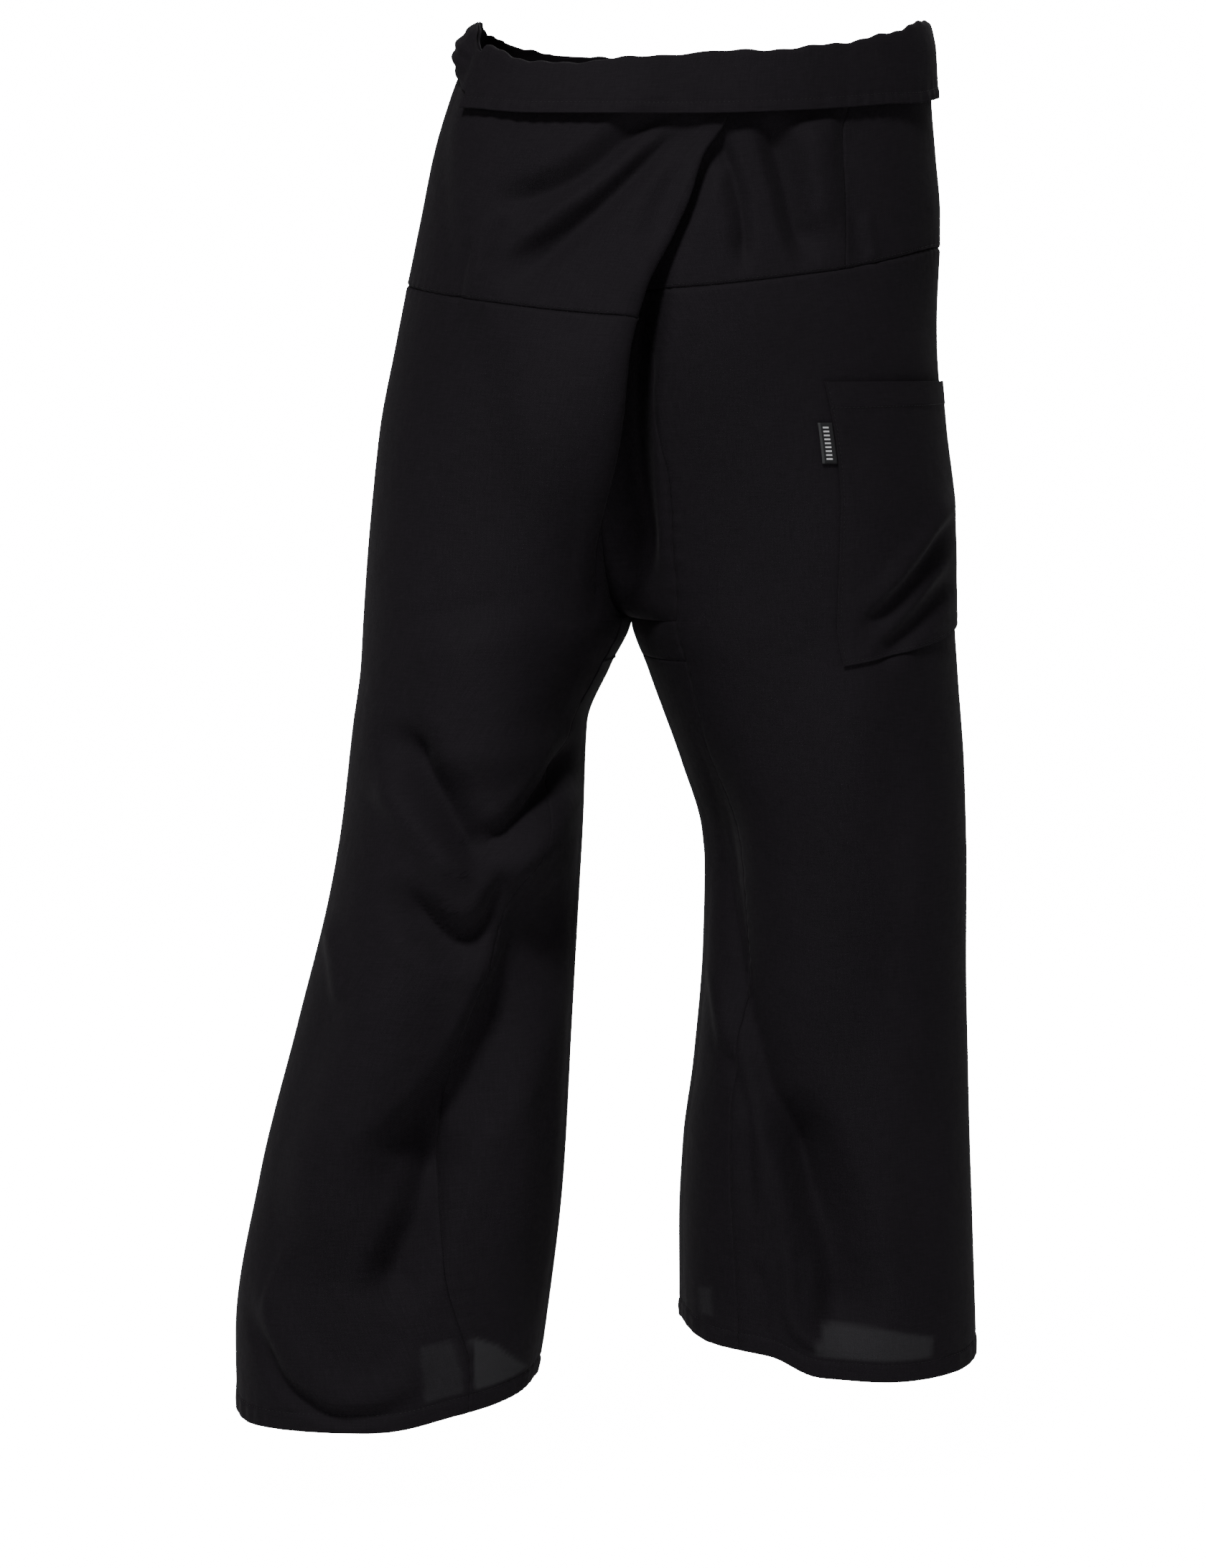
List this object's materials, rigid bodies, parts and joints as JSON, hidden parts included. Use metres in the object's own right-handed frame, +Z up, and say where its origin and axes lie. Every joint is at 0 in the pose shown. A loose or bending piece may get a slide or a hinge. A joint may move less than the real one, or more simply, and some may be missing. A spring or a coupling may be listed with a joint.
{
  "type": "thai fisherman pants",
  "caption": "Wide wrap-front black cloth trousers as worn, the top turned down over a tie, with a patch pocket on the left leg.",
  "frame": {"origin": "middle of the waist, level with the tie, where the wearer's waist holds the trousers up", "axes": "+Z up, -Y the way the trousers face, +X the wearer's left. Distances in metres"},
  "size_m": [0.5195, 0.3319, 0.9571],
  "materials": {
    "black_cloth": "matt plain weave with a soft sheen",
    "label_cloth": "matt woven tape"
  },
  "bodies": {
    "root": {"yoke": "black_cloth", "tie_right": "black_cloth", "tie_left": "black_cloth", "outer_leg_right": "black_cloth", "outer_leg_left": "black_cloth", "inner_leg_right": "black_cloth", "inner_leg_left": "black_cloth", "crotch_panel": "black_cloth", "pocket": "black_cloth", "label": "label_cloth"}
  },
  "joints": []
}
